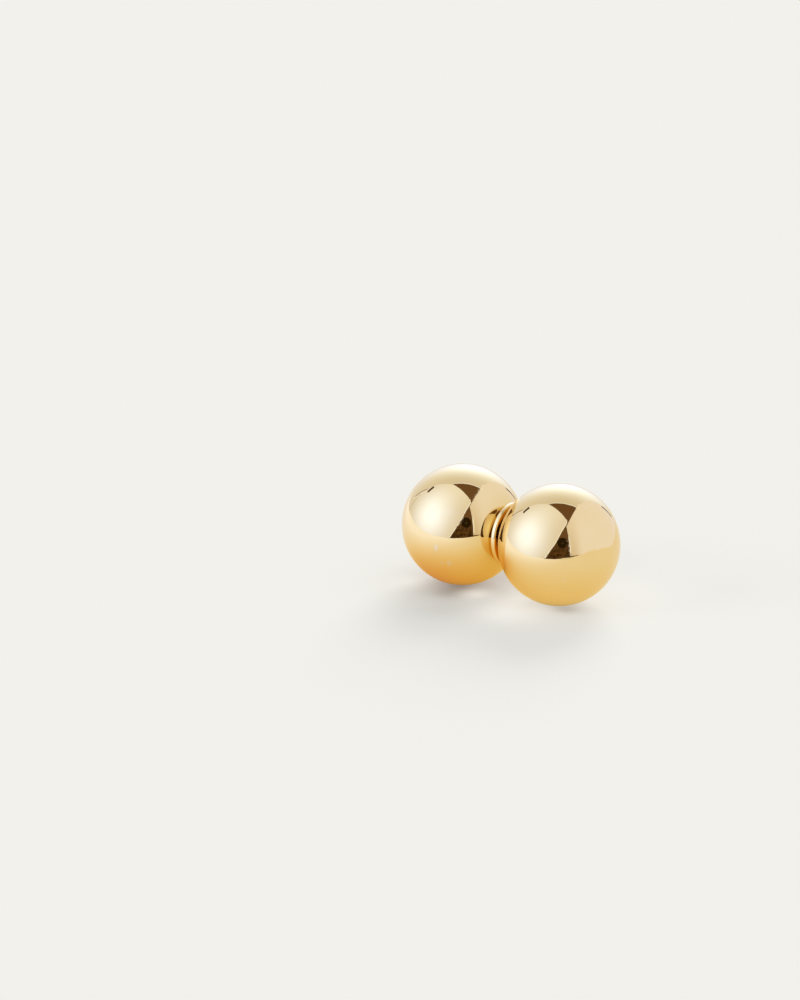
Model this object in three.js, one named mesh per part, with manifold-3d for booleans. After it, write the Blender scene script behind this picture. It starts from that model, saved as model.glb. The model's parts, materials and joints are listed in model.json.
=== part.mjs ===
// Double-ball ear climber: two polished balls soldered side by side with a thin collar ring between
// them, a straight ear post on the back of one ball, and a butterfly nut pushed onto the post.
//
// Millimetres, +Z up. The earring lies as it rests on a table: both balls touch the plane z = 0, with
// their common axis along X, and the post runs back along +Y and slopes down until the nut's edge
// touches the table too. The origin is below the middle of the whole earring, on the table.

import * as THREE from 'three';
import { mergeVertices } from 'three/addons/utils/BufferGeometryUtils.js';
import Module from 'manifold-3d';

// Balls and the collar ring in the groove between them.
const BALL_RADIUS = 6;
const BALL_SPACING = 11.4; // between the balls' centres, so the balls run slightly into each other
const COLLAR_RADIUS = 3.2;
const COLLAR_THICKNESS = 0.45;
const COLLAR_EDGE = 0.12; // radius of the rounding at both edges of the rim

// Ear post, measured from the centre of the ball that carries it.
const POST_RADIUS = 0.45;
const POST_REACH = 15.5;
const POST_CHAMFER = 0.15;
const POST_ROOT = 3; // where the post starts, well inside the ball
const SOLDER_RADIUS = 1.1; // the solder cone round the post's root
const SOLDER_RISE = 0.6; // how far the solder climbs the post

// Butterfly nut: a strip whose two ends curl back towards the post.
const NUT_GAP = 2.8; // from the ball's surface to the nut's flat plate
const NUT_WIDTH = 4.6; // across the strip
const STRIP_THICKNESS = 0.3;
const CURL_RADIUS = 1.075; // at the middle of the strip
const CURL_START = -Math.PI / 2; // angles round the curl's centre: the flat plate's edge,
const TAIL_START = Math.PI; // where the curl starts to tighten,
const CURL_END = THREE.MathUtils.degToRad(255); // and the strip's end
const TIGHTENING = 1 / Math.PI; // share of CURL_RADIUS that the tail loses in each radian
const NUT_CLEARANCE = 0.125; // between the nut and the post, all round

// Fineness of the facets.
const BALL_FACETS = 64; // round the balls' axis
const BALL_STEP = THREE.MathUtils.degToRad(7.2); // an odd share of a half turn: a flat facet lies at the bottom
const EDGE_STEPS = 4; // round each edge of the collar's rim
const POST_FACETS = 24;
const CURL_STEP = THREE.MathUtils.degToRad(15);
const WELD_DISTANCE = 1e-5; // corners nearer than this are one corner

// Worked out from the sizes above.
const NUT_DEPTH = 2 * CURL_RADIUS + STRIP_THICKNESS;
const NUT_START = BALL_RADIUS + NUT_GAP;
const NUT_END = NUT_START + NUT_DEPTH;
const HOLE_RADIUS = POST_RADIUS + NUT_CLEARANCE;
const DRILL_LENGTH = 4 * STRIP_THICKNESS; // well past both faces of the plate
const CURL_CENTRE = HOLE_RADIUS + STRIP_THICKNESS / 2 + CURL_RADIUS; // sideways from the post's axis

// The post's slope: the nut's lower outer edge is as far below the ball's centre as the table is.
const POST_SLOPE =
  Math.asin(BALL_RADIUS / Math.hypot(NUT_END, NUT_WIDTH / 2)) - Math.atan2(NUT_WIDTH / 2, NUT_END);

// The origin is at the middle of the whole earring's depth.
const POST_BACK = POST_REACH * Math.cos(POST_SLOPE) + (POST_RADIUS - POST_CHAMFER) * Math.sin(POST_SLOPE);
const AXIS_Y = (BALL_RADIUS - POST_BACK) / 2;

const wasm = await Module();
wasm.setup();

function toManifold(geometry) {
  const bare = geometry.clone();
  bare.deleteAttribute('normal');
  bare.deleteAttribute('uv');
  const welded = mergeVertices(bare, WELD_DISTANCE);
  return new wasm.Manifold(
    new wasm.Mesh({
      numProp: 3,
      vertProperties: new Float32Array(welded.attributes.position.array),
      triVerts: new Uint32Array(welded.index.array),
    }),
  );
}

function toGeometry(manifold) {
  const mesh = manifold.getMesh();
  const geometry = new THREE.BufferGeometry();
  geometry.setAttribute('position', new THREE.BufferAttribute(new Float32Array(mesh.vertProperties), 3));
  geometry.setIndex(new THREE.BufferAttribute(new Uint32Array(mesh.triVerts), 1));
  return geometry;
}

// Half of the outline that is spun round the balls' axis, from the outer pole to the flat of the
// collar's rim. Each point is (distance from the axis, distance from the middle plane).
function halfProfile() {
  const centre = BALL_SPACING / 2;
  const collarSide = COLLAR_THICKNESS / 2;
  const neckAngle = Math.PI - Math.acos((centre - collarSide) / BALL_RADIUS);
  const points = [];
  for (let angle = 0; angle < neckAngle - BALL_STEP / 2; angle += BALL_STEP) {
    points.push([BALL_RADIUS * Math.sin(angle), centre + BALL_RADIUS * Math.cos(angle)]);
  }
  points.push([BALL_RADIUS * Math.sin(neckAngle), collarSide]);
  for (let step = 0; step <= EDGE_STEPS; step += 1) {
    const angle = (step / EDGE_STEPS) * (Math.PI / 2);
    points.push([
      COLLAR_RADIUS - COLLAR_EDGE * (1 - Math.sin(angle)),
      collarSide - COLLAR_EDGE * (1 - Math.cos(angle)),
    ]);
  }
  return points;
}

// Both balls and the collar: one outline spun round the X axis.
function ballsGeometry() {
  const right = halfProfile();
  const left = [...right].reverse().map(([radius, along]) => [radius, -along]);
  const outline = [...right, ...left].reverse().map(([radius, along]) => new THREE.Vector2(radius, along));
  const geometry = new THREE.LatheGeometry(outline, BALL_FACETS, Math.PI / BALL_FACETS);
  geometry.rotateZ(-Math.PI / 2);
  return geometry;
}

// The post, spun round its own axis, which runs along +Z from the ball's centre. It starts inside the
// ball, leaves it through a cone of solder, and ends in a small flat face with a chamfer round it.
function postGeometry() {
  const outline = [
    [0, POST_ROOT],
    [SOLDER_RADIUS, POST_ROOT],
    [SOLDER_RADIUS, Math.sqrt(BALL_RADIUS ** 2 - SOLDER_RADIUS ** 2)],
    [(SOLDER_RADIUS + 2 * POST_RADIUS) / 3, BALL_RADIUS + SOLDER_RISE / 3],
    [POST_RADIUS, BALL_RADIUS + SOLDER_RISE],
    [POST_RADIUS, POST_REACH - POST_CHAMFER],
    [POST_RADIUS - POST_CHAMFER, POST_REACH],
    [0, POST_REACH],
  ].map(([radius, along]) => new THREE.Vector2(radius, along));
  const geometry = new THREE.LatheGeometry(outline, POST_FACETS);
  geometry.rotateX(Math.PI / 2);
  return geometry;
}

// The middle line of the right half of the strip, seen along its width: flat from the post to the
// curl, round the curl, and then a tightening tail. Each point is [sideways, outwards, direction].
function stripLine() {
  const points = [];
  const steps = Math.round((CURL_END - CURL_START) / CURL_STEP);
  for (let step = 0; step <= steps; step += 1) {
    const angle = CURL_START + step * CURL_STEP;
    const pastTail = Math.max(0, angle - TAIL_START);
    const radius = CURL_RADIUS * (1 - TIGHTENING * pastTail);
    const inwards = Math.atan(TIGHTENING) * Math.min(1, pastTail / CURL_STEP);
    points.push([
      CURL_CENTRE + radius * Math.cos(angle),
      CURL_RADIUS + radius * Math.sin(angle),
      angle + Math.PI / 2 + inwards,
    ]);
  }
  return points;
}

// The butterfly nut round the +Z axis, with its plate's flat face in the plane z = 0: the strip's
// outline extruded across its width, with a round hole through the plate.
function nutGeometry() {
  const half = STRIP_THICKNESS / 2;
  const offset = (side) =>
    stripLine().map(([x, z, direction]) => [x + side * Math.sin(direction), z - side * Math.cos(direction)]);
  const outer = offset(half);
  const inner = offset(-half);
  const rightHalf = [...outer, ...inner.reverse()];
  const leftHalf = rightHalf.map(([x, z]) => [-x, z]).reverse();
  const shape = new THREE.Shape([...rightHalf, ...leftHalf].map(([x, z]) => new THREE.Vector2(x, z + half)));
  const strip = new THREE.ExtrudeGeometry(shape, { depth: NUT_WIDTH, bevelEnabled: false });
  strip.translate(0, 0, -NUT_WIDTH / 2);
  strip.rotateX(Math.PI / 2);
  const drill = new THREE.CylinderGeometry(HOLE_RADIUS, HOLE_RADIUS, DRILL_LENGTH, POST_FACETS);
  drill.rotateX(Math.PI / 2);
  return toGeometry(toManifold(strip).subtract(toManifold(drill)));
}

// Turns a piece made round +Z so that it points back along +Y and slopes down.
function alongPost(object) {
  object.rotation.x = -Math.PI / 2 - POST_SLOPE;
  return object;
}

function bodyGeometry() {
  const post = postGeometry();
  const turned = alongPost(new THREE.Object3D());
  turned.position.set(-BALL_SPACING / 2, 0, 0);
  turned.updateMatrix();
  post.applyMatrix4(turned.matrix);
  return toGeometry(toManifold(ballsGeometry()).add(toManifold(post)));
}

const polishedGold = new THREE.MeshStandardMaterial({ color: 0xe9b85c, roughness: 0.05, metalness: 1 });
const nutGold = new THREE.MeshStandardMaterial({ color: 0xe2b05a, roughness: 0.18, metalness: 1 });

const body = new THREE.Mesh(bodyGeometry(), polishedGold);
body.name = 'double_ball_body';

const nut = new THREE.Mesh(nutGeometry(), nutGold);
nut.name = 'butterfly_nut';
nut.position.set(0, 0, NUT_START);

const postFrame = alongPost(new THREE.Group());
postFrame.position.set(-BALL_SPACING / 2, 0, 0);
postFrame.add(nut);

const earClimber = new THREE.Group();
earClimber.add(body, postFrame);
earClimber.position.set(0, AXIS_Y, BALL_RADIUS);

export default earClimber;
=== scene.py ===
"""A double-ball ear climber in polished gold, lying on a pale studio table.

Two 12 mm balls are soldered side by side with a thin collar between them. The rear ball carries a
straight ear post, and a butterfly nut is pushed on to the post. Lengths are in metres, in the frame of
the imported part.
"""

import json
import math

import bpy
import numpy as np
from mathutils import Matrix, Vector


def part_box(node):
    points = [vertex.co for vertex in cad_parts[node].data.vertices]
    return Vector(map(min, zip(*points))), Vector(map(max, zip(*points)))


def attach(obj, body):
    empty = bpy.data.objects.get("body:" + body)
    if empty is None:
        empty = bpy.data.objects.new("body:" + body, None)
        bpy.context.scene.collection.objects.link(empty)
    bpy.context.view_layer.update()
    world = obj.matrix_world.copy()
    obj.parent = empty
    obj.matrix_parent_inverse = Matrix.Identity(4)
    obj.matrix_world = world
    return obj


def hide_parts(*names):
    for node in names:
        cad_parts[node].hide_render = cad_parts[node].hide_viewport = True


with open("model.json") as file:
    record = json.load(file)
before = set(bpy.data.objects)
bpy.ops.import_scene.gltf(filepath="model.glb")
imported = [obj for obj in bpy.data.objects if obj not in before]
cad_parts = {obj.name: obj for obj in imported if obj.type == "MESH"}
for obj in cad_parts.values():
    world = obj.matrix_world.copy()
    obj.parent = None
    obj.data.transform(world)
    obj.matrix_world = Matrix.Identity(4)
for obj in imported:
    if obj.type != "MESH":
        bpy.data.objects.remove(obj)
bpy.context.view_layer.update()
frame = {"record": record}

MM = 0.001
MICRON = 1e-6
TURN = 2 * math.pi

# ---------------------------------------------------------------------------------------------------------
# Measures of the earring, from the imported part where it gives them
# ---------------------------------------------------------------------------------------------------------

body_low, body_high = (np.array(corner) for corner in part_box("double_ball_body"))
nut_low, nut_high = (np.array(corner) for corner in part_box("butterfly_nut"))
mounts = {mount["name"]: mount for mount in frame["record"]["mounts"]}
slots = {slot["slot"]: slot for slot in frame["record"]["materials"]}

HALF_SPACING = -(nut_low[0] + nut_high[0]) / 2
BALL_RADIUS = body_high[0] - HALF_SPACING
BALL_HEIGHT = (body_low[2] + body_high[2]) / 2
BALL_DEPTH = body_low[1] + (body_high[2] - body_low[2]) / 2
REAR_CENTRE = np.array([-HALF_SPACING, BALL_DEPTH, BALL_HEIGHT])
FRONT_CENTRE = np.array([HALF_SPACING, BALL_DEPTH, BALL_HEIGHT])
MIDDLE = (REAR_CENTRE + FRONT_CENTRE) / 2

ACROSS = np.array([1.0, 0.0, 0.0])
UP = np.array([0.0, 0.0, 1.0])
POST_AXIS = np.array(mounts["post_tip"]["axis"], float)
POST_REACH = float((np.array(mounts["post_tip"]["pos_m"]) - REAR_CENTRE) @ POST_AXIS)
NUT_START = float((np.array(mounts["nut_plate"]["pos_m"]) - REAR_CENTRE) @ POST_AXIS)
UP_THE_NUT = np.cross(ACROSS, POST_AXIS)

COLLAR_RADIUS = 3.2 * MM
COLLAR_THICKNESS = 0.45 * MM
COLLAR_EDGE = 0.12 * MM  # radius of the rounding at both edges of the rim
POST_RADIUS = 0.45 * MM
POST_CHAMFER = 0.15 * MM
SOLDER_RADIUS = 1.1 * MM
SOLDER_RISE = 0.6 * MM
SOLDER_DEPTH = 0.15 * MM  # of the cone's foot below the ball's surface

STRIP_THICKNESS = 0.3 * MM
STRIP_WIDTH = 4.6 * MM
HOLE_RADIUS = 0.575 * MM
CURL_RADIUS = 1.075 * MM
CURL_CENTRE = (nut_high[0] - nut_low[0] - STRIP_THICKNESS) / 2 - CURL_RADIUS
CURL_START = -math.pi / 2  # angles round the curl's centre: the flat's end,
TAIL_START = math.pi  # where the curl starts to tighten,
CURL_END = math.radians(255)  # and the strip's end
TIGHTENING = 1 / math.pi  # share of the radius that the tail loses in each radian

# ---------------------------------------------------------------------------------------------------------
# Meshes from arrays
# ---------------------------------------------------------------------------------------------------------


def add_object(name, points, faces, smooth=True):
    """An object at the origin whose mesh has these points and faces."""
    mesh = bpy.data.meshes.new(name)
    mesh.from_pydata(np.asarray(points, float).reshape(-1, 3).tolist(), [], [list(face) for face in faces])
    mesh.polygons.foreach_set("use_smooth", np.full(len(mesh.polygons), smooth))
    mesh.update()
    thing = bpy.data.objects.new(name, mesh)
    bpy.context.scene.collection.objects.link(thing)
    return thing


def grid_faces(index):
    """The quads between neighbours of a two-way table of point numbers."""
    return np.stack([index[:-1, :-1], index[1:, :-1], index[1:, 1:], index[:-1, 1:]], -1).reshape(-1, 4)


def turned_solid(name, along, radii, origin, axis, facets):
    """A closed solid of revolution, with the outline's first and last points on the axis:
    point = origin + along * axis + radius * (cos v * side + sin v * other side)."""
    side = UP - axis[2] * axis
    side /= np.linalg.norm(side)
    other = np.cross(axis, side)
    turn = np.linspace(0, TURN, facets, endpoint=False)
    ring = np.cos(turn)[:, None] * side + np.sin(turn)[:, None] * other
    inner = slice(1, -1)
    rings = origin + along[inner, None, None] * axis + radii[inner, None, None] * ring
    ends = origin + along[[0, -1], None] * axis
    index = 2 + np.arange(len(rings))[:, None] * facets + np.append(np.arange(facets), 0)
    start_fan = np.stack([np.zeros(facets, int), index[0, 1:], index[0, :-1]], -1)
    end_fan = np.stack([np.ones(facets, int), index[-1, :-1], index[-1, 1:]], -1)
    quads = grid_faces(index.T)
    return add_object(name, np.vstack([ends, rings.reshape(-1, 3)]), [*quads, *start_fan, *end_fan])


BALL_ROWS = 150
BALL_FACETS = 256
POST_FACETS = 96
RIM_ROWS = 9
SOLDER_ROWS = 17


def ball(name, centre, outward):
    """A ball of radius R about its centre, cut flat where it meets its neighbour: the outline is
    (R cos t, R sin t), from the outer pole to the cut at half the spacing, then straight in to the axis."""
    cut = math.acos(-HALF_SPACING / BALL_RADIUS)
    angle = np.linspace(0, cut, BALL_ROWS)
    along = np.append(BALL_RADIUS * np.cos(angle), -HALF_SPACING)
    radii = np.append(BALL_RADIUS * np.sin(angle), 0)
    return turned_solid(name, -along, radii, centre, -outward * ACROSS, BALL_FACETS)


def collar():
    """A thin disc in the groove between the balls, with a flat rim and small round edges: each edge's outline
    is (+-(h - e) + e sin t, R - e + e cos t), where h is half the thickness and e the edge's own radius."""
    half = COLLAR_THICKNESS / 2
    turn = np.concatenate([np.linspace(-math.pi / 2, 0, RIM_ROWS), np.linspace(0, math.pi / 2, RIM_ROWS)])
    shift = np.repeat([COLLAR_EDGE - half, half - COLLAR_EDGE], RIM_ROWS)
    along = np.concatenate([[-half, -half], shift + COLLAR_EDGE * np.sin(turn), [half, half]])
    rim = COLLAR_RADIUS - COLLAR_EDGE + COLLAR_EDGE * np.cos(turn)
    face = COLLAR_RADIUS - 2 * COLLAR_EDGE
    radii = np.concatenate([[0, face], rim, [face, 0]])
    return turned_solid("collar_ring", along, radii, MIDDLE, ACROSS, BALL_FACETS)


def post():
    """A round wire that leaves the rear ball through a hollow cone of solder, a quarter circle stretched
    to its rise, and ends in a flat tip with a small chamfer."""
    bend = np.linspace(0, math.pi / 2, SOLDER_ROWS)
    base = BALL_RADIUS - SOLDER_DEPTH
    cone_along = base + (SOLDER_DEPTH + SOLDER_RISE) * (1 - np.cos(bend))
    cone_radii = SOLDER_RADIUS - (SOLDER_RADIUS - POST_RADIUS) * np.sin(bend)
    along = np.concatenate([[base], cone_along, [POST_REACH - POST_CHAMFER, POST_REACH, POST_REACH]])
    radii = np.concatenate([[0], cone_radii, [POST_RADIUS, POST_RADIUS - POST_CHAMFER, 0]])
    return turned_solid("ear_post", along, radii, REAR_CENTRE, POST_AXIS, POST_FACETS)


PLATE_REACH = 1.5 * MM
PLATE_RINGS = 12
STRIP_ROWS = 24
SIDE_ROWS = 16
CURL_COLUMNS = 90
RING_CROWDING = 1.5  # above 1, the plate's rings lie closer together near the hole
FLAT_POINTS = 2  # between the plate and the curl
LIP_HEIGHT = 0.12 * MM
LIP_WIDTH = 0.3 * MM
NUT_EDGE = 0.05 * MM
NUT_EDGE_STEPS = 2


def curl_line():
    """The middle line of one wing, seen along its width: flat to the curl, round it, and a tightening tail.
    The curl is centre + r * (cos t, sin t), where r falls evenly with t after the tail's start."""
    flat = np.linspace(PLATE_REACH, CURL_CENTRE, FLAT_POINTS + 2)[1:-1]
    angle = np.linspace(CURL_START, CURL_END, CURL_COLUMNS)
    radius = CURL_RADIUS * (1 - TIGHTENING * np.maximum(0, angle - TAIL_START))
    sideways = np.append(flat, CURL_CENTRE + radius * np.cos(angle))
    outwards = np.append(np.zeros_like(flat), CURL_RADIUS + radius * np.sin(angle))
    return sideways, outwards


def butterfly():
    """The nut's strip as one sheet, thickened by a modifier: a plate, blended from its round hole to its
    square edge with a low rolled lip at the hole, and a wing curled up from each side of the plate."""
    half = STRIP_WIDTH / 2
    across = np.linspace(-half, half, STRIP_ROWS + 1)
    sideways = np.linspace(PLATE_REACH, -PLATE_REACH, SIDE_ROWS + 1)
    edge_x = np.concatenate([np.full(STRIP_ROWS, PLATE_REACH), sideways[:-1],
                             np.full(STRIP_ROWS, -PLATE_REACH), -sideways[:-1]])
    edge_y = np.concatenate([across[:-1], np.full(SIDE_ROWS, half), -across[:-1], np.full(SIDE_ROWS, -half)])
    bearing = np.arctan2(edge_y, edge_x)
    share = np.linspace(0, 1, PLATE_RINGS)[:, None] ** RING_CROWDING
    plate_x = HOLE_RADIUS * np.cos(bearing) * (1 - share) + edge_x * share
    plate_y = HOLE_RADIUS * np.sin(bearing) * (1 - share) + edge_y * share
    past_hole = np.hypot(plate_x, plate_y) - HOLE_RADIUS
    plate_z = LIP_HEIGHT * np.exp(-((past_hole / LIP_WIDTH) ** 2))
    rim = len(edge_x)
    plate = np.arange(PLATE_RINGS)[:, None] * rim + np.append(np.arange(rim), 0)
    line_x, line_z = curl_line()
    line_run = np.cumsum(np.hypot(np.diff(line_x, prepend=PLATE_REACH), np.diff(line_z, prepend=0)))
    wing_x, wing_z, wing_run = (np.repeat(values, len(across)) for values in (line_x, line_z, line_run))
    wing_y = np.tile(across, len(line_x))
    first = PLATE_RINGS * rim + np.arange(len(wing_x)).reshape(len(line_x), -1)
    right = np.vstack([plate[-1, : STRIP_ROWS + 1], first])
    far_edge = plate[-1, STRIP_ROWS + SIDE_ROWS : 2 * STRIP_ROWS + SIDE_ROWS + 1]
    left = np.vstack([far_edge[::-1], first + len(wing_x)])
    x = np.concatenate([plate_x.ravel(), wing_x, -wing_x])
    y = np.concatenate([plate_y.ravel(), wing_y, wing_y])
    z = np.concatenate([plate_z.ravel(), wing_z, wing_z])
    length = np.concatenate([plate_x.ravel(), PLATE_REACH + wing_run, -PLATE_REACH - wing_run])
    out = NUT_START + STRIP_THICKNESS / 2 + z
    points = REAR_CENTRE + x[:, None] * ACROSS + y[:, None] * UP_THE_NUT + out[:, None] * POST_AXIS
    faces = [*grid_faces(plate), *grid_faces(right), *grid_faces(left)[:, ::-1]]
    nut = add_object("butterfly_clutch", points, faces)
    corner = np.empty(len(nut.data.loops), int)
    nut.data.loops.foreach_get("vertex_index", corner)
    strip_map = nut.data.uv_layers.new(name="strip_map")
    strip_map.data.foreach_set("uv", (np.stack([length, y], -1)[corner] / STRIP_WIDTH).ravel())
    wall = nut.modifiers.new("strip_thickness", "SOLIDIFY")
    wall.thickness = STRIP_THICKNESS
    wall.offset = 0
    edge = nut.modifiers.new("soft_edges", "BEVEL")
    edge.width = NUT_EDGE
    edge.segments = NUT_EDGE_STEPS
    edge.limit_method = "ANGLE"
    return nut


rear_ball = ball("rear_ball", REAR_CENTRE, -1)
front_ball = ball("front_ball", FRONT_CENTRE, 1)
collar_ring = collar()
ear_post = post()
butterfly_clutch = butterfly()

# ---------------------------------------------------------------------------------------------------------
# Shader arithmetic
# ---------------------------------------------------------------------------------------------------------


class Signal:
    """A shader socket that takes part in Python arithmetic: each operator adds its Math node."""

    def __init__(self, bench, socket):
        self.bench = bench
        self.socket = socket

    def math(self, operation, first, second=0.0, clamp=False):
        settings = {"operation": operation, "use_clamp": clamp}
        return self.bench.add("ShaderNodeMath", settings, {0: first, 1: second})

    def __add__(self, other):
        return self.math("ADD", self, other)

    def __sub__(self, other):
        return self.math("SUBTRACT", self, other)

    def __rsub__(self, other):
        return self.math("SUBTRACT", other, self)

    def __mul__(self, other):
        return self.math("MULTIPLY", self, other)

    def __truediv__(self, other):
        return self.math("DIVIDE", self, other)

    def __pow__(self, other):
        return self.math("POWER", self, other)

    def __rpow__(self, other):
        return self.math("POWER", other, self)

    def __neg__(self):
        return self.math("MULTIPLY", self, -1.0)

    def __abs__(self):
        return self.math("ABSOLUTE", self)

    __radd__ = __add__
    __rmul__ = __mul__

    def clamped(self):
        """The value held between 0 and 1."""
        return self.math("ADD", self, 0.0, clamp=True)

    def rise(self, low, high):
        """0 below low, 1 above high, and an even S-curve between them."""
        settings = {"interpolation_type": "SMOOTHSTEP", "clamp": True}
        return self.bench.add("ShaderNodeMapRange", settings, {0: self, 1: low, 2: high})


class Bench:
    """The node tree of one material or world, and the ways to add nodes to it."""

    def __init__(self, name, shelf=bpy.data.materials, output="ShaderNodeOutputMaterial"):
        self.made = shelf.new(name)
        self.made.use_nodes = True
        self.tree = self.made.node_tree
        self.tree.nodes.clear()
        self.output = output

    def add(self, kind, settings=None, inputs=None, output=0):
        """Adds a node of this kind, with its settings and its inputs' values or links; returns one output,
        if the node has any."""
        node = self.tree.nodes.new(kind)
        for key, value in (settings or {}).items():
            setattr(node, key, value)
        for key, value in (inputs or {}).items():
            if isinstance(value, Signal):
                self.tree.links.new(value.socket, node.inputs[key])
            elif node.inputs[key].type == "RGBA":
                node.inputs[key].default_value = (*value, 1.0)
            else:
                node.inputs[key].default_value = value
        return Signal(self, node.outputs[output]) if node.outputs else None

    def place(self):
        """The point on the piece, in metres."""
        return self.add("ShaderNodeTexCoord", output="Object")

    def vector(self, operation, first, second=(0.0, 0.0, 0.0), output=0):
        """A Vector Math node; output 1 is its value, for an operation that gives a number."""
        return self.add("ShaderNodeVectorMath", {"operation": operation}, {0: first, 1: second}, output)

    def dot(self, first, second):
        return self.vector("DOT_PRODUCT", first, tuple(second), output=1)

    def distance(self, first, second):
        return self.vector("DISTANCE", first, tuple(second), output=1)

    def direction(self):
        """The unit vector from the origin to the point."""
        return self.vector("NORMALIZE", self.place())

    def scaled(self, tint, amount):
        """A colour or vector times a number, which is the node's input 3."""
        return self.add("ShaderNodeVectorMath", {"operation": "SCALE"}, {0: tint, 3: amount})

    def join(self, x, y, z):
        return self.add("ShaderNodeCombineXYZ", inputs={0: x, 1: y, 2: z})

    def blend(self, amount, first, second):
        """A mix of two colours, which are the node's inputs 6 and 7, and its output 2."""
        return self.add("ShaderNodeMix", {"data_type": "RGBA"}, {0: amount, 6: first, 7: second}, 2)

    def noise(self, where, scale, detail=2.0):
        """Cloudy noise from 0 to 1, with this many clouds to a unit of where."""
        return self.add("ShaderNodeTexNoise", inputs={"Vector": where, "Scale": scale, "Detail": detail})

    def bump(self, height, depth):
        """The surface normal over a height from 0 to 1 that stands for this depth."""
        return self.add("ShaderNodeBump", inputs={"Height": height, "Distance": depth})

    def metal(self, tint, roughness, normal):
        """The finished metal, out to the surface."""
        inputs = {"Base Color": tint, "Metallic": 1.0, "Roughness": roughness, "Normal": normal}
        return self.finish(self.add("ShaderNodeBsdfPrincipled", inputs=inputs))

    def finish(self, shader):
        """Joins the shader to the output, and returns the material or world."""
        self.add(self.output, inputs={"Surface": shader})
        return self.made


# ---------------------------------------------------------------------------------------------------------
# Gold
# ---------------------------------------------------------------------------------------------------------

CAMERA_BEARING = 35.0


def compass(bearing, elevation=0.0):
    """The unit direction so many degrees to the right of the camera's own side, and so many above level."""
    turn = math.radians(CAMERA_BEARING + bearing)
    rise = math.radians(elevation)
    return np.array([math.sin(turn) * math.cos(rise), -math.cos(turn) * math.cos(rise), math.sin(rise)])


POLISHED = tuple(slots["polished_gold"]["base_color"][:3])
ROLLED = tuple(slots["nut_gold"]["base_color"][:3])

# Tints of the metal, as factors of its own colour. The groove's and the collar faces' tints are painted
# shade.
PLATING_DEEP = (0.985, 0.965, 0.93)
PLATING_PALE = (1.01, 1.01, 1.02)
# Painted shade: the deeper tint of the gold in the groove between the balls.
GROOVE_SHADE_TINT = (0.93, 0.89, 0.68)
RIM_TINT = (0.97, 0.95, 0.90)
# Painted shade: the deeper tint of the collar's faces, down in the groove.
COLLAR_FACE_SHADE_TINT = (0.95, 0.95, 0.80)
WORKED_TINT = (0.95, 0.92, 0.86)
SOLDER_TINT = (0.90, 0.88, 0.80)
WORN_EDGE_TINT = (1.03, 1.05, 1.1)
POLISH_RESIDUE = (0.88, 0.80, 0.68)  # the residue's own colour

# How rough each finish is: its smoothest metal, and what each detail adds.
MIRROR_ROUGHNESS = {"metal": 0.022, "clouds": 0.02, "hairlines": 0.05, "marks": 0.35}
TURNED_ROUGHNESS = {"metal": 0.04, "rings": 0.05, "clouds": 0.03}
DRAWN_ROUGHNESS = {"metal": 0.09, "grain": 0.08, "solder": 0.10, "solder clouds": 0.12, "worn": -0.05}
ROLLED_ROUGHNESS = {"metal": 0.15, "grain": 0.07, "clouds": 0.05, "edge": -0.07}

# How high the relief of each finish is.
RIPPLE_DEPTH = 5.0 * MICRON
RING_DEPTH = 0.35 * MICRON
WIRE_GRAIN_DEPTH = 1.2 * MICRON
STRIP_GRAIN_DEPTH = 2.0 * MICRON

# How fine each noise is, to the metre.
PLATING_CLOUDS = 160.0
PLATING_RIPPLES = 800.0
MARK_RAGS = 5000.0
TURNED_RINGS = 14000.0
TURNED_CLOUDS = 700.0
WIRE_GRAIN = 9000.0
WIRE_CLOUDS = 900.0
STRIP_PITS = 5000.0
STRIP_CLOUDS = 500.0
STRIP_GRAIN = 60.0  # to the strip's width

GROOVE_REACH = 0.9 * MM
CLOUD_SPAN = (0.3, 0.7)
HAIRLINE_TURNS = ((0.4, 1.1, 0.2), (2.0, 0.3, 1.3), (1.2, 2.4, 0.7))
HAIRLINES = 1500.0  # to the metre
HAIRLINE_STRETCH = 25.0
HAIRLINE_WIDTH = 0.012
HAIRLINE_PALENESS = 0.12
HAIRLINE_RELIEF = 0.1
HAIRLINE_BREAKS = (0.55, 0.65)
MARK_PALENESS = 0.45
MARK_RAGGEDNESS = 0.9
MARK_EDGE = (0.5, 1.1)
WIRE_STRETCH = 60.0
WORN_TIP = 0.6 * MM
SOLDER_START = 0.6  # where the solder's look fades, in shares of its rise
SOLDER_END = 1.3
SOLDER_PALENESS = 0.5
SOLDER_RELIEF = 2.5
STRIP_SQUEEZE = 0.03
STRIP_EDGE = (0.455, 0.495)  # from the strip's middle line, in shares of its width
EDGE_PALENESS = 0.5
GRAIN_RELIEF = 0.7
PIT_RELIEF = 0.3

# Marks left on the balls by polishing: the ball, the bearing and elevation on it, and the half width.
MARKS = (
    (REAR_CENTRE, -26.6, -7.2, 0.26 * MM),
    (REAR_CENTRE, -14.0, -22.5, 0.30 * MM),
    (REAR_CENTRE, -22.0, -22.8, 0.17 * MM),
    (FRONT_CENTRE, 4.4, -17.9, 0.10 * MM),
    (FRONT_CENTRE, 11.5, -30.9, 0.08 * MM),
)
MARK_HEIGHT = 1.7  # in widths


def shade(tint, factors):
    """A tint with each channel multiplied by its factor."""
    return tuple(channel * factor for channel, factor in zip(tint, factors))


def hairlines(bench, place, turn):
    """Thin broken scratches that run one way: the level line of a noise that is stretched along the scratch,
    kept only where a coarser noise is high."""
    settings = {"vector_type": "POINT"}
    inputs = {"Vector": place, "Rotation": turn, "Scale": (1.0, 1.0 / HAIRLINE_STRETCH, 1.0)}
    turned = bench.add("ShaderNodeMapping", settings, inputs)
    level = abs(bench.noise(turned, HAIRLINES, detail=1.0) - 0.5)
    kept = bench.noise(place, HAIRLINES / 4, detail=0.0).rise(*HAIRLINE_BREAKS)
    return (1 - level / HAIRLINE_WIDTH).clamped() * kept


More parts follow.
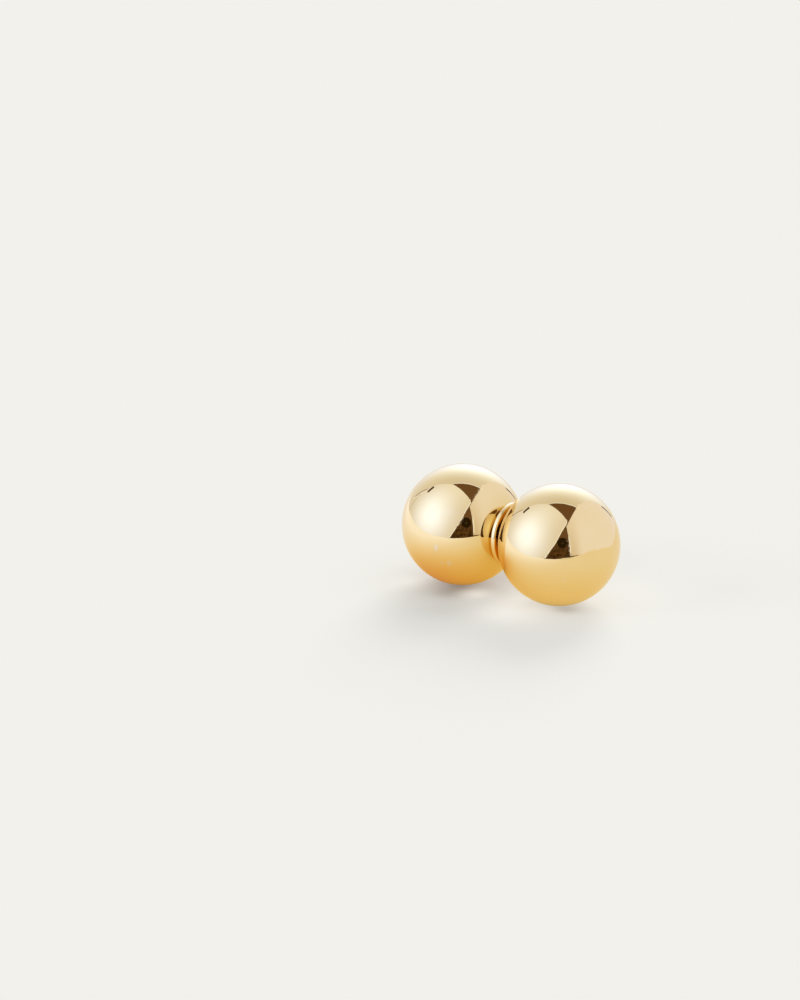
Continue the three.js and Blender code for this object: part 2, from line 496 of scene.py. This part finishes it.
def polish_marks(bench, place):
    """Small pale marks with ragged edges, each taller than it is wide."""
    ragged = (bench.noise(place, MARK_RAGS) - 0.5) * MARK_RAGGEDNESS
    squash = (1.0, 1.0, 1.0 / MARK_HEIGHT)
    total = 0.0
    for centre, bearing, elevation, half_width in MARKS:
        spot = centre + BALL_RADIUS * compass(bearing, elevation)
        offset = bench.vector("MULTIPLY", bench.vector("SUBTRACT", place, tuple(spot)), squash)
        reach = bench.vector("LENGTH", offset, output=1) / half_width
        total = total + (1 - (reach + ragged).rise(*MARK_EDGE))
    return total


def polished_gold():
    """Mirror plating: cloudy changes of tint, painted shade that makes it deeper in the groove by
    e^(-(distance / reach)^2), the faint ripple of the plating, hairlines from wiping and a few pale marks of
    polish."""
    bench = Bench("polished_gold")
    place = bench.place()
    clouds = bench.noise(place, PLATING_CLOUDS, detail=3.0)
    ripple = bench.noise(place, PLATING_RIPPLES)
    lines = sum(hairlines(bench, place, turn) for turn in HAIRLINE_TURNS)
    marks = polish_marks(bench, place)
    deep, pale = shade(POLISHED, PLATING_DEEP), shade(POLISHED, PLATING_PALE)
    tint = bench.blend(clouds.rise(*CLOUD_SPAN), deep, pale)
    # Painted shade: the gold turns deeper towards the groove between the balls.
    across = bench.dot(place, ACROSS) / GROOVE_REACH
    groove_shade = math.e ** (across * across * -1)
    tint = bench.blend(groove_shade, tint, shade(POLISHED, GROOVE_SHADE_TINT))
    residue = (lines * HAIRLINE_PALENESS + marks * MARK_PALENESS).clamped()
    tint = bench.blend(residue, tint, POLISH_RESIDUE)
    rough = MIRROR_ROUGHNESS
    roughness = rough["metal"] + clouds * rough["clouds"]
    roughness = roughness + lines * rough["hairlines"] + marks * rough["marks"]
    return bench.metal(tint, roughness, bench.bump(ripple + lines * HAIRLINE_RELIEF, RIPPLE_DEPTH))


def turned_gold():
    """The collar: turned on a lathe, so its faces and rim carry fine rings round its axis, and painted shade
    makes its faces, down in the groove, a deeper gold than its rim."""
    bench = Bench("turned_gold")
    place = bench.place()
    flat_place = bench.vector("MULTIPLY", place, (0.0, 1.0, 1.0))
    from_axis = bench.distance(flat_place, (0.0, MIDDLE[1], MIDDLE[2]))
    rings = bench.noise(bench.join(from_axis, bench.dot(place, ACROSS), 0.0), TURNED_RINGS)
    clouds = bench.noise(place, TURNED_CLOUDS, detail=3.0)
    tint = bench.blend(clouds, shade(POLISHED, RIM_TINT), POLISHED)
    # Painted shade: the collar's faces, down in the groove, are darker than its rim.
    face = 1 - from_axis.rise(COLLAR_RADIUS - 2 * COLLAR_EDGE, COLLAR_RADIUS - COLLAR_EDGE / 2)
    tint = bench.blend(face, tint, shade(POLISHED, COLLAR_FACE_SHADE_TINT))
    rough = TURNED_ROUGHNESS
    roughness = rough["metal"] + rings * rough["rings"] + clouds * rough["clouds"]
    return bench.metal(tint, roughness, bench.bump(rings, RING_DEPTH))


def drawn_gold():
    """The post: drawn wire with lengthwise lines, a duller solder cone and a tip that handling has worn."""
    bench = Bench("drawn_gold")
    place = bench.place()
    reach = bench.dot(place, POST_AXIS) - float(REAR_CENTRE @ POST_AXIS)
    along = reach / WIRE_STRETCH
    grain_place = bench.join(bench.dot(place, ACROSS), bench.dot(place, UP_THE_NUT), along)
    grain = bench.noise(grain_place, WIRE_GRAIN, detail=3.0)
    clouds = bench.noise(place, WIRE_CLOUDS, detail=4.0)
    solder = 1 - reach.rise(BALL_RADIUS + SOLDER_RISE * SOLDER_START, BALL_RADIUS + SOLDER_RISE * SOLDER_END)
    worn = reach.rise(POST_REACH - WORN_TIP, POST_REACH)
    tint = bench.blend(clouds, shade(POLISHED, WORKED_TINT), POLISHED)
    tint = bench.blend(solder * SOLDER_PALENESS, tint, shade(POLISHED, SOLDER_TINT))
    rough = DRAWN_ROUGHNESS
    dullness = rough["solder"] + clouds * rough["solder clouds"]
    roughness = rough["metal"] + grain * rough["grain"] + solder * dullness + worn * rough["worn"]
    height = grain * (1 - solder) + clouds * solder * SOLDER_RELIEF
    return bench.metal(tint, roughness, bench.bump(height, WIRE_GRAIN_DEPTH))


def rolled_gold():
    """The nut: rolled strip, with its grain along the strip, a satin tumbled finish, and brighter edges."""
    bench = Bench("rolled_gold")
    place = bench.place()
    strip = bench.add("ShaderNodeUVMap", {"uv_map": "strip_map"})
    across = bench.dot(strip, (0.0, 1.0, 0.0))
    squeeze = {"Vector": strip, "Scale": (STRIP_SQUEEZE, 1.0, 1.0)}
    grain = bench.noise(bench.add("ShaderNodeMapping", inputs=squeeze), STRIP_GRAIN, detail=3.0)
    pits = bench.noise(place, STRIP_PITS)
    clouds = bench.noise(place, STRIP_CLOUDS, detail=3.0)
    edge = abs(across).rise(*STRIP_EDGE)
    tint = bench.blend(clouds, shade(ROLLED, WORKED_TINT), ROLLED)
    tint = bench.blend(edge * EDGE_PALENESS, tint, shade(ROLLED, WORN_EDGE_TINT))
    rough = ROLLED_ROUGHNESS
    roughness = rough["metal"] + grain * rough["grain"] + clouds * rough["clouds"] + edge * rough["edge"]
    height = grain * GRAIN_RELIEF + pits * PIT_RELIEF
    return bench.metal(tint, roughness, bench.bump(height, STRIP_GRAIN_DEPTH))


def dress(piece, material, node):
    """Gives a piece its material and its place in the part."""
    piece.data.materials.append(material)
    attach(piece, "root")
    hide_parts(node)


ball_gold = polished_gold()
dress(rear_ball, ball_gold, "double_ball_body")
dress(front_ball, ball_gold, "double_ball_body")
dress(collar_ring, turned_gold(), "double_ball_body")
dress(ear_post, drawn_gold(), "double_ball_body")
dress(butterfly_clutch, rolled_gold(), "butterfly_nut")

# ---------------------------------------------------------------------------------------------------------
# Studio: what the gold mirrors
# ---------------------------------------------------------------------------------------------------------

WALL_DISTANCE = 0.4
BAND_DISTANCE = 0.38
ROOM_RADIUS = 3
THROWN_SHARE = 0.38

LEFT_CLOTH = (0.75, 0.77, 0.87)
LEFT_CLOTH_OVERHEAD = (0.87, 0.94, 1.15)
BACK_CLOTH = (0.79, 0.83, 0.95)
BACK_CLOTH_OVERHEAD = (0.71, 0.73, 0.83)
PANEL = (0.915, 0.965, 1.23)
PANEL_EDGE = (0.74, 0.70, 0.70)
LAMP_TINT = (0.6, 1.0, 2.4)
BACK_LAMP_TINT = (0.6, 0.95, 1.9)
HEM = (1.02, 1.18, 1.65)
SHADOW = (0.10, 0.06, 0.03)
GREY_SEAM = (0.52, 0.50, 0.60)
DARK_LOW = (0.075, 0.040, 0.015)
DARK_HIGH = (0.152, 0.088, 0.045)
DARK_LIFT = (-0.05, 0.6)  # where the room turns paler, as sines of the elevation
SMUDGES = 14.0
SMUDGE_SPAN = (0.35, 0.65)
SMUDGE_SHADES = (0.4, 1.5)  # the darkest and the palest smudge, as shares of DARK_LOW
LENS_RIM = (0.022, 0.0134, 0.0045)
LENS_GLASS = (0.07, 0.05, 0.03)

# The walls' corners as the table sees them: bearings and elevations.
LEFT_WALL = ((-129, -12), (-26, -8), (-7, 22), (25, 58), (27.5, 62), (25, 66.5), (-128, 73))
RIGHT_WALL = ((18.5, -3.4), (45, -2.6), (75, -12), (154, -12), (153, 30), (133, 60), (119, 60), (18.5, 51))
BACK_WALL = ((104, 60), (133, 49), (143, 30), (149, 8), (151, -12), (-129, -12), (-128, 70))

# The lamps behind the cloths: the direction, the tint, the power, and how narrow the bright spot is.
LEFT_LAMP = ((-71, 23), LAMP_TINT, 0.80, 4.5)
BACK_LAMP = ((173, 26), BACK_LAMP_TINT, 0.85, 10.5)
OVERHEAD_SHARPNESS = 4.0
PANEL_DEEP_BEARING = 112
PANEL_EDGE_SPAN = 0.42
PANEL_FOOT_SHARE = 0.7

# Hems and seams: the cloth, the two ends as bearings and elevations, and the width in degrees.
BANDS = {
    "left_foot_hem": (HEM, (-26.5, -8), (-8, 21.5), 1.4),
    "left_head_hem": (HEM, (-8, 21.5), (24, 58), 1.4),
    "back_hem": (HEM, (104, 60.5), (-128, 70.5), 1.2),
    "right_hem": (HEM, (19.3, 30), (19.3, 2), 1.8),
    "seam_shadow": (SHADOW, (-123.5, 43.5), (-118, 35), 5.0),
    "far_seam": (SHADOW, (144.8, 15), (149, 0), 2.2),
    "seam_fold": (GREY_SEAM, (-125, 34), (-135, 12), 2.6),
    "seam_hem": (HEM, (-122, 36), (-133, 11), 1.3),
}

# The camera that the gold mirrors: its dark front and the glass in it, with their radii in degrees.
LENS_WAY = (5.3, 21.5)
LENS_RADIUS = 9.5
GLASS_WAY = (5.3, 21.0)
GLASS_RADIUS = 1.8
DISC_CORNERS = 48


def mirrored(thing, material):
    """Shown in the metal's reflections and nowhere else."""
    thing.data.materials.append(material)
    thing.visible_camera = False
    thing.visible_diffuse = False
    thing.visible_transmission = False
    thing.visible_volume_scatter = False
    thing.visible_shadow = False


def glow(bench, tint):
    """Light of this tint that the metal mirrors to the eye in full, and throws on to the table in part."""
    thrown = bench.add("ShaderNodeLightPath", output="Diffuse Depth")
    strength = 1 - thrown.clamped() * (1 - THROWN_SHARE)
    return bench.finish(bench.add("ShaderNodeEmission", inputs={"Color": tint, "Strength": strength}))


def plain_glow(name, tint):
    return glow(Bench(name), tint)


def cloth(name, low, high, lamp):
    """Lit cloth, seen from the table: low is its tint at table level and high overhead, and it gains
    power * e^(-narrowness * (1 - cosine of the angle to the lamp)) of the lamp's tint."""
    lamp_way, lamp_tint, power, narrowness = lamp
    bench = Bench(name)
    toward = bench.direction()
    plain = bench.blend(bench.dot(toward, UP) ** OVERHEAD_SHARPNESS, low, high)
    away = 1 - bench.dot(toward, compass(*lamp_way))
    lit = bench.scaled(lamp_tint, power * math.e ** (away * -narrowness))
    return glow(bench, bench.vector("ADD", plain, lit))


def panel_cloth():
    """The right wall's cloth, which darkens towards its near edge, and most at the table."""
    bench = Bench("panel_cloth")
    toward = bench.direction()
    inwards = bench.dot(toward, compass(PANEL_DEEP_BEARING)).rise(0.0, PANEL_EDGE_SPAN)
    edge = (1 - inwards) * (1 - PANEL_FOOT_SHARE * bench.dot(toward, UP))
    return glow(bench, bench.blend(edge.clamped(), PANEL, PANEL_EDGE))


def wall(name, facing, corners, material):
    """A flat wall square to the facing direction, with its corners seen from the table at these bearings and
    elevations: corner = direction * distance / (facing . direction)."""
    normal = compass(*facing)
    rays = np.array([compass(*corner) for corner in corners])
    panel = add_object(name, rays * (WALL_DISTANCE / (rays @ normal))[:, None], [range(len(corners))], False)
    mirrored(panel, material)


def band(name, start, end, width, material):
    """A flat strip in front of the walls, between two directions and this many degrees wide."""
    first, last = (compass(*way) * BAND_DISTANCE for way in (start, end))
    side = np.cross(last - first, first + last)
    side *= BAND_DISTANCE * math.radians(width) / 2 / np.linalg.norm(side)
    strip = add_object(name, [first - side, last - side, last + side, first + side], [range(4)], False)
    mirrored(strip, material)


def disc(name, way, radius, distance, material):
    """A round disc that faces the table, this many degrees in radius."""
    centre = compass(*way)
    side = np.cross(UP, centre)
    side /= np.linalg.norm(side)
    other = np.cross(centre, side)
    turn = np.linspace(0, TURN, DISC_CORNERS, endpoint=False)[:, None]
    rim = centre + math.tan(math.radians(radius)) * (np.cos(turn) * side + np.sin(turn) * other)
    mirrored(add_object(name, rim * distance, [range(len(rim))], False), material)


wall("left_wall", (-54, 26), LEFT_WALL, cloth("left_cloth", LEFT_CLOTH, LEFT_CLOTH_OVERHEAD, LEFT_LAMP))
wall("right_wall", (80, 16), RIGHT_WALL, panel_cloth())
wall("back_wall", (178, 20), BACK_WALL, cloth("back_cloth", BACK_CLOTH, BACK_CLOTH_OVERHEAD, BACK_LAMP))
cloths = {
    HEM: plain_glow("hem", HEM),
    SHADOW: plain_glow("dark_seam", SHADOW),
    GREY_SEAM: plain_glow("grey_seam", GREY_SEAM),
}
for band_name, (band_tint, *band_shape) in BANDS.items():
    band(band_name, *band_shape, cloths[band_tint])
disc("camera_lens", LENS_WAY, LENS_RADIUS, WALL_DISTANCE, plain_glow("lens_rim", LENS_RIM))
disc("lens_glass", GLASS_WAY, GLASS_RADIUS, BAND_DISTANCE, plain_glow("lens_glass", LENS_GLASS))

SAG_DISTANCE = 45 * MM
SAG_BEARINGS = (66, 147)
SAG_MIDDLE = 105
SAG_HALF_WIDTH = 18
SAG_DEPTH = 5
SAG_ENDS = -1.5
SAG_TOP = 3
SAG_COLUMNS = 30


def sagging_hem():
    """The foot of the right wall's cloth, where it sags towards the table, as seen from the front ball: its
    lower edge is at the elevation ends - depth * e^(-((bearing - middle) / half width)^2)."""
    bearing = np.linspace(*SAG_BEARINGS, SAG_COLUMNS)
    foot = SAG_ENDS - SAG_DEPTH * np.exp(-(((bearing - SAG_MIDDLE) / SAG_HALF_WIDTH) ** 2))
    top = np.full(SAG_COLUMNS, SAG_TOP)
    rows = [[compass(*way) for way in zip(bearing, edge)] for edge in (foot, top)]
    points = FRONT_CENTRE + SAG_DISTANCE * np.array(rows)
    index = np.arange(2 * SAG_COLUMNS).reshape(2, -1)
    mirrored(add_object("sagging_hem", points, grid_faces(index), False), panel_cloth())


sagging_hem()


def dark_room():
    """The unlit room round the table, darkest at table level, as a closed ball far outside the walls."""
    bench = Bench("dark_room")
    lift = bench.dot(bench.direction(), UP).rise(*DARK_LIFT)
    smudge = bench.noise(bench.direction(), SMUDGES, detail=4.0).rise(*SMUDGE_SPAN)
    darkest, palest = (shade(DARK_LOW, (share,) * 3) for share in SMUDGE_SHADES)
    dark = bench.blend(lift, bench.blend(smudge, darkest, palest), DARK_HIGH)
    bpy.ops.mesh.primitive_uv_sphere_add(segments=48, ring_count=24, radius=ROOM_RADIUS)
    room = bpy.context.object
    room.name = "dark_room"
    mirrored(room, glow(bench, dark))


dark_room()

TABLE_EDGE_BEARING = -30
TABLE_EDGE = 43 * MM
TABLE_REACH = 3.0

# Painted amber light that the balls throw on to the table: the middle, weight and reach of each patch. The
# rows marked fitted are not chosen by hand: a least-squares fit gave them, and they are only rounded.
AMBER_SOURCES = (
    (REAR_CENTRE + compass(-90) * 2.2 * MM, 0.82, 5 * MM),  # fitted
    (REAR_CENTRE, 0.17, 2.5 * MM),
    (FRONT_CENTRE, 0.23, 5 * MM),  # fitted
)
# Painted shade on the mirrored table where each ball touches it: the core's reach and its darkness.
CONTACT_CORE = 2 * MM
CONTACT_SHADE_DARKNESS = 0.6
LEFT_GLOW = 0.3
LEFT_GLOW_BEARING = -70
LEFT_GLOW_REACH = 45 * MM

# The mirrored table's tint away from the balls, and how the amber takes light from each channel. All seven
# are fitted, by the same least-squares fit, and only rounded.
TABLE_RED = 0.887
TABLE_GREEN = 0.86
TABLE_BLUE = 0.785
RED_LOSS = 0.30
GREEN_LOSS = 0.74
GREEN_RATE = 1.9
BLUE_RATE = 5.4


def mirrored_table():
    """The table as the gold shows it, with light and shade painted on. It turns amber with painted light from
    the balls, by the sum of weight * e^(-distance / reach) over the amber's sources, dark with painted shade
    where the balls touch it, by e^(-(distance / core)^2), and paler to the left with painted light of the
    left lamp."""
    out = compass(TABLE_EDGE_BEARING)
    side = compass(TABLE_EDGE_BEARING + 90) * TABLE_REACH
    near = np.array([0, BALL_DEPTH, 0]) + out * TABLE_EDGE
    far = near - out * TABLE_REACH
    corners = [far + side, near + side, near - side, far - side]
    table = add_object("mirrored_table", corners, [range(4)], False)
    bench = Bench("mirrored_table")
    place = bench.place()
    amber = 0.0
    # Painted light: the amber that the balls throw on to the table.
    for middle, weight, reach in AMBER_SOURCES:
        away = bench.distance(place, (middle[0], middle[1], 0.0))
        amber = amber + weight * math.e ** (away * (-1 / reach))
    # Painted shade where the balls touch the table.
    contact_shade = 0.0
    for centre in (REAR_CENTRE, FRONT_CENTRE):
        away = bench.distance(place, (centre[0], centre[1], 0.0)) / CONTACT_CORE
        contact_shade = contact_shade + CONTACT_SHADE_DARKNESS * math.e ** (away * away * -1)
    red = TABLE_RED - RED_LOSS * amber
    green = TABLE_GREEN - GREEN_LOSS * (1 - math.e ** (amber * -GREEN_RATE))
    blue = TABLE_BLUE * math.e ** (amber * -BLUE_RATE)
    tint = bench.scaled(bench.join(red, green, blue), 1 - contact_shade)
    # Painted light of the left lamp, paler to the left.
    left = bench.dot(place, compass(LEFT_GLOW_BEARING)).rise(0.0, LEFT_GLOW_REACH)
    mirrored(table, glow(bench, bench.vector("ADD", tint, bench.scaled(LAMP_TINT, left * LEFT_GLOW))))


mirrored_table()

# ---------------------------------------------------------------------------------------------------------
# Studio: what the camera sees
# ---------------------------------------------------------------------------------------------------------

CAMERA_ELEVATION = 17.5
CAMERA_DISTANCE = 0.6
VIEW_HEIGHT = 98.0 * MM
AIM_LEFT = 10.84 * MM
AIM_UP = 3.37 * MM
SENSOR = 36
BACKDROP = (0.888, 0.880, 0.838)
PAPER_GLOW = 0.54
PAPER_TOOTH = 2500.0  # to the metre
TOOTH_DEPTH = 8 * MICRON
NEAR_CLIP = 0.01

# Painted shade under the balls and painted light that they throw on to the table: from the foot of which
# ball, how many millimetres to the right and towards the camera, how far it reaches, and the change of the
# table's glow.
# The rows marked fitted come from a least-squares fit and are only rounded; the others are set one by one.
PAINTED_TABLE_PATCHES = (
    (REAR_CENTRE, -1.5, 0.0, 4.5, -0.50),
    (REAR_CENTRE, -4.5, 0.0, 2.5, 0.25),  # fitted, then its change made weaker
    (REAR_CENTRE, 0.0, 1.8, 1.5, -0.20),
    (REAR_CENTRE, -2.0, 8.5, 3.5, -0.20),  # fitted
    (REAR_CENTRE, -1.3, 3.5, 1.8, -0.29),  # fitted
    (REAR_CENTRE, 1.1, 3.5, 1.7, 0.40),  # fitted
    (FRONT_CENTRE, 0.7, 2.0, 1.3, -0.35),
    (FRONT_CENTRE, -4.8, 3.0, 3.5, 0.30),  # fitted
    (FRONT_CENTRE, 5.0, -2.5, 8.0, 0.13),  # fitted
)
SKY_SHARE = 0.27
BACK_LIGHT_SHARE = 0.15
LEFT_LIGHT_SHARE = 0.04


def pale_table():
    """The table under the earring: matt paper with a faint tooth, and part of its brightness its own. Its
    glow, the sky and the lights add up to the backdrop's tint, and each patch of painted shade or light
    changes the glow by the share change * e^(-(distance / reach)^2)."""
    signs = ((-1, -1, 0), (1, -1, 0), (1, 1, 0), (-1, 1, 0))
    table = add_object("table", TABLE_REACH * np.array(signs), [range(4)], False)
    bench = Bench("table_paper")
    place = bench.place()
    tooth = bench.bump(bench.noise(place, PAPER_TOOTH, detail=3.0), TOOTH_DEPTH)
    paper = bench.add("ShaderNodeBsdfDiffuse", inputs={"Color": BACKDROP, "Normal": tooth})
    share = 1.0
    # Painted shade and light: each patch darkens or brightens the table's glow.
    for centre, right, forward, reach, change in PAINTED_TABLE_PATCHES:
        middle = centre + (compass(90) * right + compass(0) * forward) * MM
        away = bench.distance(place, (middle[0], middle[1], 0.0)) / (reach * MM)
        share = share + change * math.e ** (away * away * -1)
    lit = bench.add("ShaderNodeEmission", inputs={"Color": BACKDROP, "Strength": share * PAPER_GLOW})
    table.data.materials.append(bench.finish(bench.add("ShaderNodeAddShader", inputs={0: paper, 1: lit})))
    table.visible_glossy = False


pale_table()


def pale_world():
    """Even surroundings: as pale as the table to the eye, and a dimmer fill light on everything else."""
    bench = Bench("pale_studio", bpy.data.worlds, "ShaderNodeOutputWorld")
    seen = bench.add("ShaderNodeLightPath", output="Is Camera Ray")
    tint = bench.blend(seen, (SKY_SHARE,) * 3, BACKDROP)
    bpy.context.scene.world = bench.finish(bench.add("ShaderNodeBackground", inputs={"Color": tint}))


pale_world()


def soft_light(name, bearing, elevation, softness, share):
    """A far light that the gold doesn't mirror, so many degrees across, which gives the table this share of
    its brightness."""
    light = bpy.data.lights.new(name, "SUN")
    light.energy = share * math.pi / math.sin(math.radians(elevation))
    light.angle = math.radians(softness)
    lamp = bpy.data.objects.new(name, light)
    bpy.context.scene.collection.objects.link(lamp)
    lamp.rotation_euler = Vector(compass(bearing, elevation)).to_track_quat("Z", "Y").to_euler()
    lamp.visible_glossy = False


soft_light("back_light", bearing=165, elevation=28, softness=30, share=BACK_LIGHT_SHARE)
soft_light("left_light", bearing=-75, elevation=24, softness=30, share=LEFT_LIGHT_SHARE)


def camera():
    """Looks down on the earring from its front right, with the rear ball to the left of the middle."""
    lens = bpy.data.cameras.new("camera")
    lens.sensor_width = SENSOR
    lens.lens = SENSOR * CAMERA_DISTANCE / VIEW_HEIGHT
    lens.clip_start = NEAR_CLIP
    view = bpy.data.objects.new("camera", lens)
    bpy.context.scene.collection.objects.link(view)
    bpy.context.scene.camera = view
    back = compass(0, CAMERA_ELEVATION)
    right = compass(90)
    up = np.cross(back, right)
    view.location = MIDDLE - right * AIM_LEFT + up * AIM_UP + back * CAMERA_DISTANCE
    view.rotation_euler = Vector(back).to_track_quat("Z", "Y").to_euler()


camera()
bpy.context.scene.view_settings.view_transform = "Standard"
